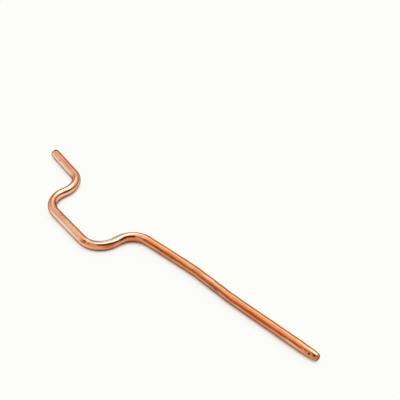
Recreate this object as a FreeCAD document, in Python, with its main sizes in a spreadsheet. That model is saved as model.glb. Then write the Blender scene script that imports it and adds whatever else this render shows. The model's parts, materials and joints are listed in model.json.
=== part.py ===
"""Heat pipe: one round copper tube, bent flat into two S-shaped jogs and closed at both ends.

The tube lies on Z = 0. Its long straight end points along +X, and the origin is the middle of
the footprint.
"""
import FreeCAD, Part
import math
import os

import Sketcher
from FreeCAD import Placement, Rotation, Vector

# Driving dimensions in millimetres and degrees; the ovality is a share of the radius
DIMENSIONS = {
    "pipe_diameter": 6.0,
    "bend_radius": 14.0,
    "bow_radius": 80.0,
    "bend_ovality": 0.06,
    "leg_entry": 27.0,
    "turn_one": 90.0,
    "turn_two": 93.5,
    "leg_jog": 32.5,
    "turn_three": 97.0,
    "turn_four": 86.5,
    "leg_exit": 34.0,
    "bow_out": 5.0,
    "leg_middle": 27.0,
    "bow_back": 3.0,
    "leg_end": 49.0,
    "swage_length": 9.8,
    "swage_diameter": 5.1,
    "swage_shoulder": 1.5,
    "swage_dome": 7.0,
    "cap_length": 2.0,
    "cap_shoulder": 1.5,
    "cap_dome": 6.0,
    "seam_width": 0.9,
    "seam_depth": 2.0,
    "crimp_floor_radius": 0.35,
    "crimp_mouth_radius": 1.1,
    "crimp_height": 1.1,
    "crimp_depth": 0.9,
    "crimp_near_reach": 4.9,
    "crimp_near_angle": 51.0,
    "crimp_far_reach": 8.0,
    "crimp_far_angle": 35.0,
    "flat_distance": 2.45,
    "flat_tilt": 4.0,
    "flat_reach": 1.2,
    "flat_angle": 65.0,
    "flat_width": 8.0,
    "flat_length": 12.0,
    "flat_height": 3.0,
}

LEFT = 1
RIGHT = -1

# The route from the capped end to the swaged end: straight legs, and turns with their side and radius
ROUTE = (
    ("leg_entry",),
    ("turn_one", RIGHT, "bend_radius"),
    ("turn_two", LEFT, "bend_radius"),
    ("leg_jog",),
    ("turn_three", LEFT, "bend_radius"),
    ("turn_four", RIGHT, "bend_radius"),
    ("leg_exit",),
    ("bow_out", RIGHT, "bow_radius"),
    ("leg_middle",),
    ("bow_back", LEFT, "bow_radius"),
    ("leg_end",),
)

# Volume in cubic millimetres that every cut takes away at least
SMALLEST_CUT = 0.05

# Places along a tight bend, from its start to its end, where its section is drawn
BEND_STATIONS = (0.0, 0.25, 0.5, 0.75, 1.0)


def make_sheet(doc):
    """Spreadsheet of the driving dimensions, one alias each."""
    sheet = doc.addObject("Spreadsheet::Sheet", "dims")
    for row, (alias, value) in enumerate(DIMENSIONS.items(), start=1):
        sheet.set(f"A{row}", alias)
        sheet.set(f"B{row}", str(value))
        sheet.setAlias(f"B{row}", alias)
    doc.recompute()
    return sheet


def edge_name(element):
    """Name of the route's edge for one of its legs or turns."""
    names = [entry[0] for entry in ROUTE]
    return f"Edge{names.index(element) + 1}"


def bind(sketch, constraint, name, expression):
    """Add a named constraint whose value follows an expression on the sheet."""
    index = sketch.addConstraint(constraint)
    sketch.renameConstraint(index, name)
    sketch.setExpression(f"Constraints.{name}", expression)


def draw_route(body, sheet):
    """Centreline sketch: legs and arcs, each tangent to the one before."""
    sketch = body.newObject("Sketcher::SketchObject", "route")
    plane = next(item for item in body.Origin.OriginFeatures if item.Role == "XY_Plane")
    sketch.AttachmentSupport = [(plane, "")]
    sketch.MapMode = "FlatFace"

    place = Vector(0, 0, 0)
    heading = 0.0
    joined_to = None
    for name, *turn in ROUTE:
        if turn:
            side, radius_alias = turn
            radius = sheet.get(radius_alias)
            sweep = math.radians(sheet.get(name))
            to_centre = heading + side * math.pi / 2
            centre = place + radius * Vector(math.cos(to_centre), math.sin(to_centre), 0)
            first = to_centre + math.pi
            last = first + side * sweep
            circle = Part.Circle(centre, Vector(0, 0, 1), radius)
            arc = Part.ArcOfCircle(circle, min(first, last), max(first, last))
            index = sketch.addGeometry(arc, False)
            start_point, end_point = (1, 2) if side == LEFT else (2, 1)
            place = centre + radius * Vector(math.cos(last), math.sin(last), 0)
            heading += side * sweep
        else:
            end = place + sheet.get(name) * Vector(math.cos(heading), math.sin(heading), 0)
            index = sketch.addGeometry(Part.LineSegment(place, end), False)
            start_point, end_point = 1, 2
            place = end
        if joined_to:
            sketch.addConstraint(Sketcher.Constraint("Tangent", *joined_to, index, start_point))
        joined_to = (index, end_point)

    sketch.addConstraint(Sketcher.Constraint("Coincident", 0, 1, -1, 1))
    sketch.addConstraint(Sketcher.Constraint("Horizontal", 0))
    for index, (name, *turn) in enumerate(ROUTE):
        if turn:
            radius_alias = turn[1]
            radius = Sketcher.Constraint("Radius", index, sheet.get(radius_alias))
            bind(sketch, radius, f"{name}_radius", f"dims.{radius_alias}")
            sweep = Sketcher.Constraint("Angle", index, math.radians(sheet.get(name)))
            bind(sketch, sweep, name, f"dims.{name} * 1 deg")
        else:
            length = Sketcher.Constraint("Distance", index, sheet.get(name))
            bind(sketch, length, name, f"dims.{name}")
    return sketch


def normal_sketch(body, route, name, element, at, turned=None):
    """Empty sketch square to the route, at a share of one of its elements.

    Its X axis is level and its Y axis points up, unless it is turned about its own origin.
    """
    sketch = body.newObject("Sketcher::SketchObject", name)
    sketch.AttachmentSupport = [(route, edge_name(element))]
    sketch.MapMode = "NormalToEdge"
    sketch.MapPathParameter = at
    if turned:
        sketch.AttachmentOffset = Placement(Vector(0, 0, 0), turned)
    return sketch


def round_section(body, route, name, element, at):
    """Circle of the pipe's diameter, square to the route."""
    sketch = normal_sketch(body, route, name, element, at)
    sketch.addGeometry(Part.Circle(Vector(0, 0, 0), Vector(0, 0, 1), 1.0), False)
    sketch.addConstraint(Sketcher.Constraint("Coincident", 0, 3, -1, 1))
    bind(sketch, Sketcher.Constraint("Radius", 0, 1.0), "radius", "dims.pipe_diameter / 2")
    return sketch


def oval_section(body, route, name, element, at, sheet):
    """Upright ellipse, the section of a bent tube: narrower in the plane of the bend.

    The ovality grows from nothing at the ends of the bend to its full share in the middle.
    """
    share = math.sin(math.pi * at) ** 2
    radius = sheet.get("pipe_diameter") / 2
    tall = radius * (1 + share * sheet.get("bend_ovality"))
    narrow = radius * (1 - share * sheet.get("bend_ovality"))
    sketch = normal_sketch(body, route, name, element, at)
    ellipse = Part.Ellipse(Vector(0, tall, 0), Vector(narrow, 0, 0), Vector(0, 0, 0))
    sketch.addGeometry(ellipse, False)
    sketch.exposeInternalGeometry(0)
    sketch.addConstraint(Sketcher.Constraint("Coincident", 0, 3, -1, 1))
    sketch.addConstraint(Sketcher.Constraint("PointOnObject", 1, 1, -2))
    grown = f"dims.pipe_diameter * (1 + {share} * dims.bend_ovality)"
    shrunk = f"dims.pipe_diameter * (1 - {share} * dims.bend_ovality)"
    bind(sketch, Sketcher.Constraint("Distance", 1, 2 * tall), "height", grown)
    bind(sketch, Sketcher.Constraint("Distance", 2, 2 * narrow), "width", shrunk)
    return sketch


def add_run(body, route, name, elements):
    """Round tube along a run of legs and wide bows."""
    pipe = body.newObject("PartDesign::AdditivePipe", name)
    pipe.Profile = round_section(body, route, f"{name}_section", elements[0], 0.0)
    pipe.Spine = (route, [edge_name(element) for element in elements])
    return pipe


def add_bend(body, route, element, sheet):
    """Tight bend whose section goes from round to oval and back."""
    sections = []
    for at in BEND_STATIONS:
        name = f"{element}_section_{round(100 * at)}"
        if at in (0.0, 1.0):
            sections.append(round_section(body, route, name, element, at))
        else:
            sections.append(oval_section(body, route, name, element, at, sheet))
    pipe = body.newObject("PartDesign::AdditivePipe", element)
    pipe.Profile = sections[0]
    pipe.Spine = (route, [edge_name(element)])
    pipe.Transformation = "Multisection"
    pipe.Sections = sections[1:]
    return pipe


def add_closed_end(body, route, name, element, at, turned, diameter_alias, sheet):
    """Closed end of the tube, revolved about its leg: a side, a round shoulder and a low dome."""
    length = sheet.get(f"{name}_length")
    shoulder = sheet.get(f"{name}_shoulder")
    dome = sheet.get(f"{name}_dome")
    radius = sheet.get("pipe_diameter") / 2
    end_radius = sheet.get(diameter_alias) / 2

    sketch = normal_sketch(body, route, f"{name}_profile", element, at, turned)
    slope = math.atan2(radius - end_radius, length - shoulder)
    dome_centre = length - dome
    shoulder_y = end_radius - shoulder * math.cos(slope)
    shoulder_x = dome_centre + math.sqrt((dome - shoulder) ** 2 - shoulder_y ** 2)
    side_end = Vector(shoulder_x + shoulder * math.sin(slope), end_radius, 0)
    meet = math.atan2(shoulder_y, shoulder_x - dome_centre)
    axis = Vector(0, 0, 1)
    corners = [Vector(0, 0, 0), Vector(0, radius, 0), side_end]
    sketch.addGeometry(Part.LineSegment(corners[0], corners[1]), False)
    sketch.addGeometry(Part.LineSegment(corners[1], corners[2]), False)
    round_edge = Part.Circle(Vector(shoulder_x, shoulder_y, 0), axis, shoulder)
    sketch.addGeometry(Part.ArcOfCircle(round_edge, meet, math.pi / 2 - slope), False)
    face = Part.Circle(Vector(dome_centre, 0, 0), axis, dome)
    sketch.addGeometry(Part.ArcOfCircle(face, 0.0, meet), False)
    sketch.addGeometry(Part.LineSegment(Vector(length, 0, 0), corners[0]), False)

    sketch.addConstraint([
        Sketcher.Constraint("Coincident", 0, 1, -1, 1),
        Sketcher.Constraint("Vertical", 0),
        Sketcher.Constraint("Coincident", 0, 2, 1, 1),
        Sketcher.Constraint("Tangent", 1, 2, 2, 2),
        Sketcher.Constraint("Tangent", 2, 1, 3, 2),
        Sketcher.Constraint("PointOnObject", 3, 3, -1),
        Sketcher.Constraint("Coincident", 3, 1, 4, 1),
        Sketcher.Constraint("Coincident", 4, 2, -1, 1),
        Sketcher.Constraint("Horizontal", 4),
    ])
    bind(sketch, Sketcher.Constraint("Distance", 0, radius), "radius", "dims.pipe_diameter / 2")
    end_height = Sketcher.Constraint("DistanceY", -1, 1, 1, 2, end_radius)
    bind(sketch, end_height, "end_radius", f"dims.{diameter_alias} / 2")
    bind(sketch, Sketcher.Constraint("Radius", 2, shoulder), "shoulder", f"dims.{name}_shoulder")
    bind(sketch, Sketcher.Constraint("Radius", 3, dome), "dome", f"dims.{name}_dome")
    bind(sketch, Sketcher.Constraint("Distance", 4, length), "length", f"dims.{name}_length")

    revolution = body.newObject("PartDesign::Revolution", name)
    revolution.Profile = sketch
    revolution.ReferenceAxis = (sketch, ["H_Axis"])
    revolution.Angle = 360.0
    return revolution


def cut_seam(body, route, sheet):
    """Upright V-shaped closing seam across the dome of the capped end."""
    outward_level = Rotation(Vector(0, 0, 1), Vector(-1, 0, 0), Vector(0, 1, 0), "ZXY")
    sketch = normal_sketch(body, route, "seam_profile", "leg_entry", 0.0, outward_level)
    tip = sheet.get("cap_length")
    half_width = sheet.get("seam_width") / 2
    bottom = Vector(tip - sheet.get("seam_depth"), 0, 0)
    corners = [bottom, Vector(tip, -half_width, 0), Vector(tip, half_width, 0)]
    for start, end in zip(corners, corners[1:] + corners[:1]):
        sketch.addGeometry(Part.LineSegment(start, end), False)
    sketch.addConstraint([
        Sketcher.Constraint("Coincident", 0, 2, 1, 1),
        Sketcher.Constraint("Coincident", 1, 2, 2, 1),
        Sketcher.Constraint("Coincident", 2, 2, 0, 1),
        Sketcher.Constraint("PointOnObject", 0, 1, -1),
        Sketcher.Constraint("Symmetric", 1, 1, 1, 2, -1),
    ])
    bind(sketch, Sketcher.Constraint("Distance", 1, 2 * half_width), "width", "dims.seam_width")
    reach = Sketcher.Constraint("DistanceX", -1, 1, 0, 1, bottom.x)
    bind(sketch, reach, "reach", "dims.cap_length - dims.seam_depth")
    mouth = Sketcher.Constraint("DistanceX", -1, 1, 1, 1, tip)
    bind(sketch, mouth, "mouth", "dims.cap_length")
    pocket = body.newObject("PartDesign::Pocket", "seam")
    pocket.Profile = sketch
    pocket.Type = "ThroughAll"
    pocket.Midplane = True
    return pocket


def press_flat(body, route, sheet):
    """Flat that the crimping jaw leaves on the side of the swaged end, closer to the axis at its tip."""
    box = body.newObject("PartDesign::SubtractiveBox", "crimp_flat")
    box.AttachmentSupport = [(route, edge_name("leg_end"))]
    box.MapMode = "NormalToEdge"
    box.MapPathParameter = 1.0
    angle = math.radians(sheet.get("flat_angle"))
    tilt = math.radians(sheet.get("flat_tilt"))
    across = Vector(math.cos(angle), -math.sin(angle), 0)
    square = Vector(math.sin(angle), math.cos(angle), 0)
    onward = Vector(0, 0, -1)
    outward = square * math.cos(tilt) + onward * math.sin(tilt)
    ahead = onward * math.cos(tilt) - square * math.sin(tilt)
    box.AttachmentOffset = Placement(Vector(0, 0, 0), Rotation(across, ahead, outward, "ZXY"))
    box.setExpression("Length", "dims.flat_width")
    box.setExpression("Width", "dims.flat_length")
    box.setExpression("Height", "dims.flat_height")
    sine = "sin(dims.flat_angle * 1 deg)"
    cosine = "cos(dims.flat_angle * 1 deg)"
    distance = "dims.flat_distance"
    half_width = "dims.flat_width / 2"
    box.setExpression("AttachmentOffset.Base.x", f"{distance} * {sine} - {half_width} * {cosine}")
    box.setExpression("AttachmentOffset.Base.y", f"{distance} * {cosine} + {half_width} * {sine}")
    box.setExpression("AttachmentOffset.Base.z", "-dims.flat_reach")
    return box


def press_crimp(body, route, name, sheet):
    """Conical crimp mark in the side of the swaged end, turned from the top to the right-hand side."""
    cone = body.newObject("PartDesign::SubtractiveCone", name)
    cone.AttachmentSupport = [(route, edge_name("leg_end"))]
    cone.MapMode = "NormalToEdge"
    cone.MapPathParameter = 1.0
    outward = Rotation(-sheet.get(f"{name}_angle"), 0, -90)
    cone.AttachmentOffset = Placement(Vector(0, 0, 0), outward)
    cone.setExpression("Radius1", "dims.crimp_floor_radius")
    cone.setExpression("Radius2", "dims.crimp_mouth_radius")
    cone.setExpression("Height", "dims.crimp_height")
    taper = "(dims.pipe_diameter - dims.swage_diameter) / 2 / dims.swage_length"
    surface = f"(dims.pipe_diameter / 2 - dims.{name}_reach * {taper})"
    floor = f"({surface} - dims.crimp_depth)"
    cone.setExpression("AttachmentOffset.Base.x", f"{floor} * sin(dims.{name}_angle * 1 deg)")
    cone.setExpression("AttachmentOffset.Base.y", f"{floor} * cos(dims.{name}_angle * 1 deg)")
    cone.setExpression("AttachmentOffset.Base.z", f"-dims.{name}_reach")
    return cone


def build_pipe(doc, sheet):
    """The whole pipe as one body, from the capped end to the swaged end."""
    body = doc.addObject("PartDesign::Body", "heat_pipe")
    body.Label = "heat_pipe"
    route = draw_route(body, sheet)
    doc.recompute()

    add_run(body, route, "entry_run", ["leg_entry"])
    doc.recompute()
    for element in ("turn_one", "turn_two"):
        add_bend(body, route, element, sheet)
        doc.recompute()
    add_run(body, route, "jog_run", ["leg_jog"])
    doc.recompute()
    for element in ("turn_three", "turn_four"):
        add_bend(body, route, element, sheet)
        doc.recompute()
    add_run(body, route, "exit_run", ["leg_exit", "bow_out", "leg_middle", "bow_back", "leg_end"])
    doc.recompute()

    upright = Vector(0, 1, 0)
    outward_at_start = Rotation(upright, -90)
    outward_at_end = Rotation(upright, 90)
    add_closed_end(body, route, "cap", "leg_entry", 0.0, outward_at_start, "pipe_diameter", sheet)
    doc.recompute()
    cut_seam(body, route, sheet)
    doc.recompute()
    add_closed_end(body, route, "swage", "leg_end", 1.0, outward_at_end, "swage_diameter", sheet)
    doc.recompute()
    press_flat(body, route, sheet)
    doc.recompute()
    for name in ("crimp_near", "crimp_far"):
        press_crimp(body, route, name, sheet)
        doc.recompute()
    return body


def lay_down(doc, body, sheet):
    """Turn the long leg to +X and centre the footprint on the origin, with the tube on Z = 0."""
    heading = sum(turn[0] * sheet.get(name) for name, *turn in ROUTE if turn)
    turned = Rotation(Vector(0, 0, 1), -heading)
    body.Placement = Placement(Vector(0, 0, 0), turned)
    doc.recompute()
    box = body.Shape.optimalBoundingBox(False, False)
    middle = Vector(box.Center.x, box.Center.y, box.ZMin)
    body.Placement = Placement(-middle, turned)
    doc.recompute()


def check(doc, body):
    """Stop if any object failed, a cut left no mark or the pipe isn't one valid solid."""
    for item in doc.Objects:
        if {"Invalid", "Error"} & set(item.State):
            raise RuntimeError(f"{item.Name} failed: {item.State}")
    for name in ("seam", "crimp_flat", "crimp_near", "crimp_far"):
        feature = doc.getObject(name)
        if feature.BaseFeature.Shape.Volume - feature.Shape.Volume < SMALLEST_CUT:
            raise RuntimeError(f"{name} left no mark")
    shape = body.Shape
    if shape.isNull() or not shape.isValid() or len(shape.Solids) != 1:
        raise RuntimeError("the pipe is not one valid solid")


def main():
    """Build the pipe, check it and write its solid."""
    doc = FreeCAD.newDocument("heat_pipe_model")
    sheet = make_sheet(doc)
    body = build_pipe(doc, sheet)
    lay_down(doc, body, sheet)
    check(doc, body)
    os.makedirs("parts", exist_ok=True)
    body.Shape.exportStep(f"parts/{body.Label}.step")


main()
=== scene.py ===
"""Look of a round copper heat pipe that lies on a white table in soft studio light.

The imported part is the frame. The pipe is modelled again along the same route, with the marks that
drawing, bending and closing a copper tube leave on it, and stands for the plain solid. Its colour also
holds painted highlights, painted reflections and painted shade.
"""

import json
import logging
import math
from dataclasses import dataclass, field
from enum import Enum

import bpy
import numpy as np
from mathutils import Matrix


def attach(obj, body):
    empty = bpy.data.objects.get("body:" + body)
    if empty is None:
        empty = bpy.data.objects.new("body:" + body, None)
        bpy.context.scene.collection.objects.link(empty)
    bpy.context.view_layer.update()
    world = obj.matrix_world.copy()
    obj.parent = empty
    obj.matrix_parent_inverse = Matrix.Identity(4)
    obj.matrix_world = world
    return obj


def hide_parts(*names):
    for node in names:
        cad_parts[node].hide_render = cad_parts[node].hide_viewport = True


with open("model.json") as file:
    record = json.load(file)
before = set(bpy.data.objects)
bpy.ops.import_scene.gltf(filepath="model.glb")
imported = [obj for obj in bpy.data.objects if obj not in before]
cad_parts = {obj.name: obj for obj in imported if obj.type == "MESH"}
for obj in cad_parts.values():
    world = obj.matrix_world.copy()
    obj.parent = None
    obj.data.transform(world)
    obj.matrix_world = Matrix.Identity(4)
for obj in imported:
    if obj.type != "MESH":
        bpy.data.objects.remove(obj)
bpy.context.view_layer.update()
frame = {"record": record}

MM = 0.001
LOG = logging.getLogger("heat_pipe")

Colour = tuple[float, float, float]
Number = "float | Value"


class Value:
    """A number socket, so that shader maths can be written as Python expressions."""

    def __init__(self, tree: "ShaderTree", socket: bpy.types.NodeSocket) -> None:
        """Wraps a socket of a tree."""
        self.tree = tree
        self.socket = socket

    def _math(self, operation: str, first: Number, second: Number = 0.0) -> "Value":
        """Adds a Math node.

        Args:
            operation: the node's operation.
            first: its first value.
            second: its second value.

        Returns:
            The node's result.
        """
        node = self.tree.add("ShaderNodeMath", {"operation": operation}, {0: first, 1: second})
        return Value(self.tree, node.outputs[0])

    def __add__(self, other: Number) -> "Value":
        """Sum of two values."""
        return self._math("ADD", self, other)

    def __radd__(self, other: Number) -> "Value":
        """Sum of a number and this value."""
        return self._math("ADD", other, self)

    def __sub__(self, other: Number) -> "Value":
        """Difference of two values."""
        return self._math("SUBTRACT", self, other)

    def __rsub__(self, other: Number) -> "Value":
        """A number less this value."""
        return self._math("SUBTRACT", other, self)

    def __mul__(self, other: Number) -> "Value":
        """Product of two values."""
        return self._math("MULTIPLY", self, other)

    def __rmul__(self, other: Number) -> "Value":
        """Product of a number and this value."""
        return self._math("MULTIPLY", other, self)

    def __abs__(self) -> "Value":
        """Size of this value without its sign."""
        return self._math("ABSOLUTE", self)

    def arcsin(self) -> "Value":
        """Angle whose sine this is."""
        return self._math("ARCSINE", self)

    def arctan2(self, other: Number) -> "Value":
        """Angle of the direction whose upright part is this value and whose level part is the other."""
        return self._math("ARCTAN2", self, other)

    def maximum(self, other: Number) -> "Value":
        """The larger of two values."""
        return self._math("MAXIMUM", self, other)

    def fade(self, start: float, end: float) -> "Value":
        """Smooth step of this value.

        Args:
            start: where the result is 0.
            end: where the result is 1.

        Returns:
            The step, which stays between 0 and 1.
        """
        node = self.tree.add(
            "ShaderNodeMapRange",
            {"interpolation_type": "SMOOTHSTEP"},
            {"Value": self, "From Min": start, "From Max": end},
        )
        return Value(self.tree, node.outputs[0])


@dataclass(frozen=True)
class Grain:
    """Lumps of a noise: their size along and across the pipe, their finer layers and a shift.

    The shift moves the pattern, so that two noises differ.
    """

    length: float
    width: float
    detail: float
    shift: float


class ShaderTree:
    """Nodes of one material or of the world."""

    MIX_FACTOR = 0
    MIX_FIRST = 6
    MIX_SECOND = 7
    MIX_RESULT = 2
    NOISE_ROUGHNESS = 0.55
    NOISE_MIDDLE = 0.5

    def __init__(self, tree: bpy.types.NodeTree) -> None:
        """Takes over a node tree and empties it."""
        self.tree = tree
        tree.nodes.clear()

    def add(self, kind: str, settings: dict | None = None, sockets: dict | None = None) -> bpy.types.Node:
        """Adds a node.

        Args:
            kind: the node's type.
            settings: its settings, which are set first.
            sockets: a number, a colour, a value or a link for each input, by name or place.

        Returns:
            The new node.
        """
        node = self.tree.nodes.new(kind)
        for name, setting in (settings or {}).items():
            setattr(node, name, setting)
        for name, given in (sockets or {}).items():
            self.feed(node.inputs[name], given)
        return node

    def feed(self, socket: bpy.types.NodeSocket, given: object) -> None:
        """Gives a socket its value or its link.

        Args:
            socket: the input.
            given: a number, a colour, a value or another node's output.
        """
        if isinstance(given, Value):
            given = given.socket
        if isinstance(given, bpy.types.NodeSocket):
            self.tree.links.new(given, socket)
        elif socket.type == "RGBA":
            socket.default_value = (*given, 1.0)
        else:
            socket.default_value = given

    def mix(self, share: Number, first: object, second: object) -> bpy.types.NodeSocket:
        """Mixes two colours.

        Args:
            share: how much of the second colour there is.
            first: a colour or a link to one.
            second: a colour or a link to one.

        Returns:
            The mixed colour.
        """
        sockets = {self.MIX_FACTOR: share, self.MIX_FIRST: first, self.MIX_SECOND: second}
        node = self.add("ShaderNodeMix", {"data_type": "RGBA"}, sockets)
        return node.outputs[self.MIX_RESULT]

    def along(self, vector: bpy.types.NodeSocket, direction: tuple) -> Value:
        """Part of a vector that lies along a direction.

        Args:
            vector: a link to the vector.
            direction: a unit vector.

        Returns:
            The length of that part.
        """
        settings = {"operation": "DOT_PRODUCT"}
        node = self.add("ShaderNodeVectorMath", settings, {0: vector, 1: direction})
        return Value(self, node.outputs["Value"])

    def parts(self, attribute: str) -> list[Value]:
        """The three numbers of an attribute of the piece."""
        vector = self.add("ShaderNodeAttribute", {"attribute_name": attribute}).outputs["Vector"]
        return [Value(self, part) for part in self.add("ShaderNodeSeparateXYZ", None, {0: vector}).outputs]

    def noise(self, vector: bpy.types.NodeSocket, grain: Grain) -> Value:
        """Noise whose lumps are drawn out along the first axis.

        Args:
            vector: the coordinates, in metres.
            grain: what its lumps are like.

        Returns:
            The noise, around NOISE_MIDDLE.
        """
        sizes = (grain.length, grain.width, grain.width)
        scaled = {0: vector, 1: tuple(1.0 / size for size in sizes), 2: (grain.shift,) * 3}
        place = self.add("ShaderNodeVectorMath", {"operation": "MULTIPLY_ADD"}, scaled)
        sockets = {
            "Vector": place.outputs[0],
            "Scale": 1.0,
            "Detail": grain.detail,
            "Roughness": self.NOISE_ROUGHNESS,
        }
        return Value(self, self.add("ShaderNodeTexNoise", None, sockets).outputs[0])


class Side(Enum):
    """Which way the route turns, seen from above on the way from the cap to the nose."""

    LEFT = 1.0
    RIGHT = -1.0


@dataclass(frozen=True)
class Stretch:
    """A leg or a bend of the route."""

    length: float
    curvature: float = 0.0
    ovality: float = 0.0

    @classmethod
    def leg(cls, length: float) -> "Stretch":
        """A straight stretch."""
        return cls(length)

    @classmethod
    def bend(cls, degrees: float, side: Side, radius: float, ovality: float = 0.0) -> "Stretch":
        """A stretch on an arc.

        Args:
            degrees: how far it turns.
            side: which way it turns.
            radius: radius of the centreline.
            ovality: how far the section is pressed oval at the middle of the bend.

        Returns:
            The stretch.
        """
        return cls(math.radians(degrees) * radius, side.value / radius, ovality)


@dataclass(frozen=True)
class LaidStretch:
    """A stretch at its place on the table."""

    form: Stretch
    x: float
    y: float
    heading: float
    before: float

    @property
    def ahead(self) -> np.ndarray:
        """Direction in which the stretch starts."""
        return np.array((math.cos(self.heading), math.sin(self.heading)))

    @property
    def right(self) -> np.ndarray:
        """Direction to the right of its start."""
        return np.array((math.sin(self.heading), -math.cos(self.heading)))

    @property
    def centre(self) -> np.ndarray:
        """Centre of a bend."""
        return np.array((self.x, self.y)) - self.right / self.form.curvature

    def at(self, along: np.ndarray) -> tuple[np.ndarray, np.ndarray]:
        """Places on the centreline.

        Args:
            along: distances from the start of the stretch.

        Returns:
            The points, and the direction to the right at each.
        """
        bend = self.form.curvature
        heading = self.heading + bend * along
        right = np.column_stack((np.sin(heading), -np.cos(heading)))
        if bend:
            return self.centre + right / bend, right
        return np.array((self.x, self.y)) + np.outer(along, self.ahead), right

    def unroll(self, flat: np.ndarray) -> tuple[np.ndarray, np.ndarray]:
        """Where points lie as seen from this stretch.

        Args:
            flat: points on the table.

        Returns:
            How far along and how far to the right of the stretch each point is.
        """
        bend = self.form.curvature
        if not bend:
            reach = flat - (self.x, self.y)
            return reach @ self.ahead, reach @ self.right
        reach = flat - self.centre
        outward = self.right * math.copysign(1.0, bend)
        turned = np.arctan2(reach @ self.ahead, reach @ outward)
        radius = 1.0 / abs(bend)
        return turned * radius, math.copysign(1.0, bend) * (np.hypot(*reach.T) - radius)


@dataclass
class Route:
    """Centreline of the pipe from the cap to the nose, flat at one height above the table."""

    stretches: tuple[Stretch, ...]
    height: float
    past_end_weight: float = 100.0
    laid: list[LaidStretch] = field(init=False, default_factory=list)

    def lay(self, middle: tuple[float, float], heading: float) -> None:
        """Lays the route so that its last leg is at a known place.

        Args:
            middle: where the middle of the last leg is.
            heading: where the last leg points, in radians.
        """
        turned = sum(form.length * form.curvature for form in self.stretches)
        self.laid = self._walk(0.0, 0.0, heading - turned)
        last = self.laid[-1]
        x, y = np.array(middle) - (last.x, last.y) - last.ahead * last.form.length / 2
        self.laid = self._walk(x, y, heading - turned)

    def _walk(self, x: float, y: float, heading: float) -> list[LaidStretch]:
        """Lays the stretches one after the other.

        Args:
            x: where the route starts.
            y: where the route starts.
            heading: where it points there.

        Returns:
            The stretches at their places.
        """
        laid = []
        before = 0.0
        for form in self.stretches:
            laid.append(LaidStretch(form, x, y, heading, before))
            end, _ = laid[-1].at(np.array((form.length,)))
            x, y = end[0]
            heading += form.length * form.curvature
            before += form.length
        return laid

    def share(self, along: np.ndarray) -> list[tuple[LaidStretch, np.ndarray]]:
        """Shares places along the route out among the stretches.

        Args:
            along: distances from the start of the route.

        Returns:
            Each stretch, and which of the places belong to it.
        """
        starts = [stretch.before for stretch in self.laid]
        owner = np.clip(np.searchsorted(starts, along, side="right") - 1, 0, None)
        return [(stretch, owner == index) for index, stretch in enumerate(self.laid)]

    def unroll(self, points: np.ndarray) -> np.ndarray:
        """Straightens points of the pipe.

        Args:
            points: points in the frame.

        Returns:
            For each point, how far along, how far to the right and how far above the centreline it is.
        """
        nearest = np.full(len(points), np.inf)
        straight = np.zeros_like(points)
        straight[:, 2] = points[:, 2] - self.height
        for index, stretch in enumerate(self.laid):
            along, side = stretch.unroll(points[:, :2])
            low = -np.inf if index == 0 else 0.0
            high = np.inf if index == len(self.laid) - 1 else stretch.form.length
            outside = np.maximum(low - along, 0.0) + np.maximum(along - high, 0.0)
            miss = np.abs(side) + self.past_end_weight * outside
            better = miss < nearest
            nearest[better] = miss[better]
            straight[better, 0] = along[better] + stretch.before
            straight[better, 1] = side[better]
        return straight

    def roll(self, straight: np.ndarray) -> np.ndarray:
        """Puts straightened points back on the bent pipe.

        Args:
            straight: straightened points.

        Returns:
            The points in the frame.
        """
        points = np.zeros_like(straight)
        points[:, 2] = straight[:, 2] + self.height
        for stretch, mine in self.share(straight[:, 0]):
            on_line, right = stretch.at(straight[mine, 0] - stretch.before)
            points[mine, :2] = on_line + right * straight[mine, 1:2]
        return points


@dataclass(frozen=True)
class ClosedEnd:
    """Profile of a closed end: a slight cone, a rounded shoulder and a low dome."""

    length: float
    diameter: float
    shoulder: float
    dome: float
    cone_rings: int
    shoulder_rings: int = 8
    dome_rings: int = 5

    def profile(self, tube_radius: float) -> list[tuple[float, float]]:
        """Rings of the end after the tube's last ring.

        Args:
            tube_radius: radius of the tube where the end starts.

        Returns:
            How far out each ring is and its radius. The last ring is the pole, with no radius.
        """
        radius = self.diameter / 2
        dome_middle = self.length - self.dome
        inset = self.dome - self.shoulder
        drop = radius - self.shoulder
        reach = math.sqrt(inset**2 - drop**2)
        start = dome_middle + reach
        meeting = math.atan2(drop, reach)
        rings = []
        for step in np.linspace(0.0, 1.0, self.cone_rings + 1)[1:]:
            rings.append((start * step, tube_radius + (radius - tube_radius) * step))
        for turn in np.linspace(math.pi / 2, meeting, self.shoulder_rings + 1)[1:]:
            rings.append((start + self.shoulder * math.cos(turn), drop + self.shoulder * math.sin(turn)))
        for turn in np.linspace(meeting, 0.0, self.dome_rings + 1)[1:]:
            rings.append((dome_middle + self.dome * math.cos(turn), self.dome * math.sin(turn)))
        return rings


class WearAndPaintedLight(Enum):
    """What a mark does to the copper, real or painted light: the attribute that holds it, and its place
    there.
    """

    SCUFF = ("wear", 0)
    # Dark specks, and painted dark reflection lines
    SPECK = ("wear", 1)
    # Painted brown shade and dark reflection lines
    TINT = ("wear", 2)
    # Painted highlights, and painted reflections of the pale table
    BRIGHT = ("tone", 0)
    HEAT = ("tone", 1)
    EMBER = ("tone", 2)
    # Painted shade in plum
    PLUM = ("shade", 0)
    # Painted grey reflection along the upper edges
    DULL = ("shade", 1)


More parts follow.
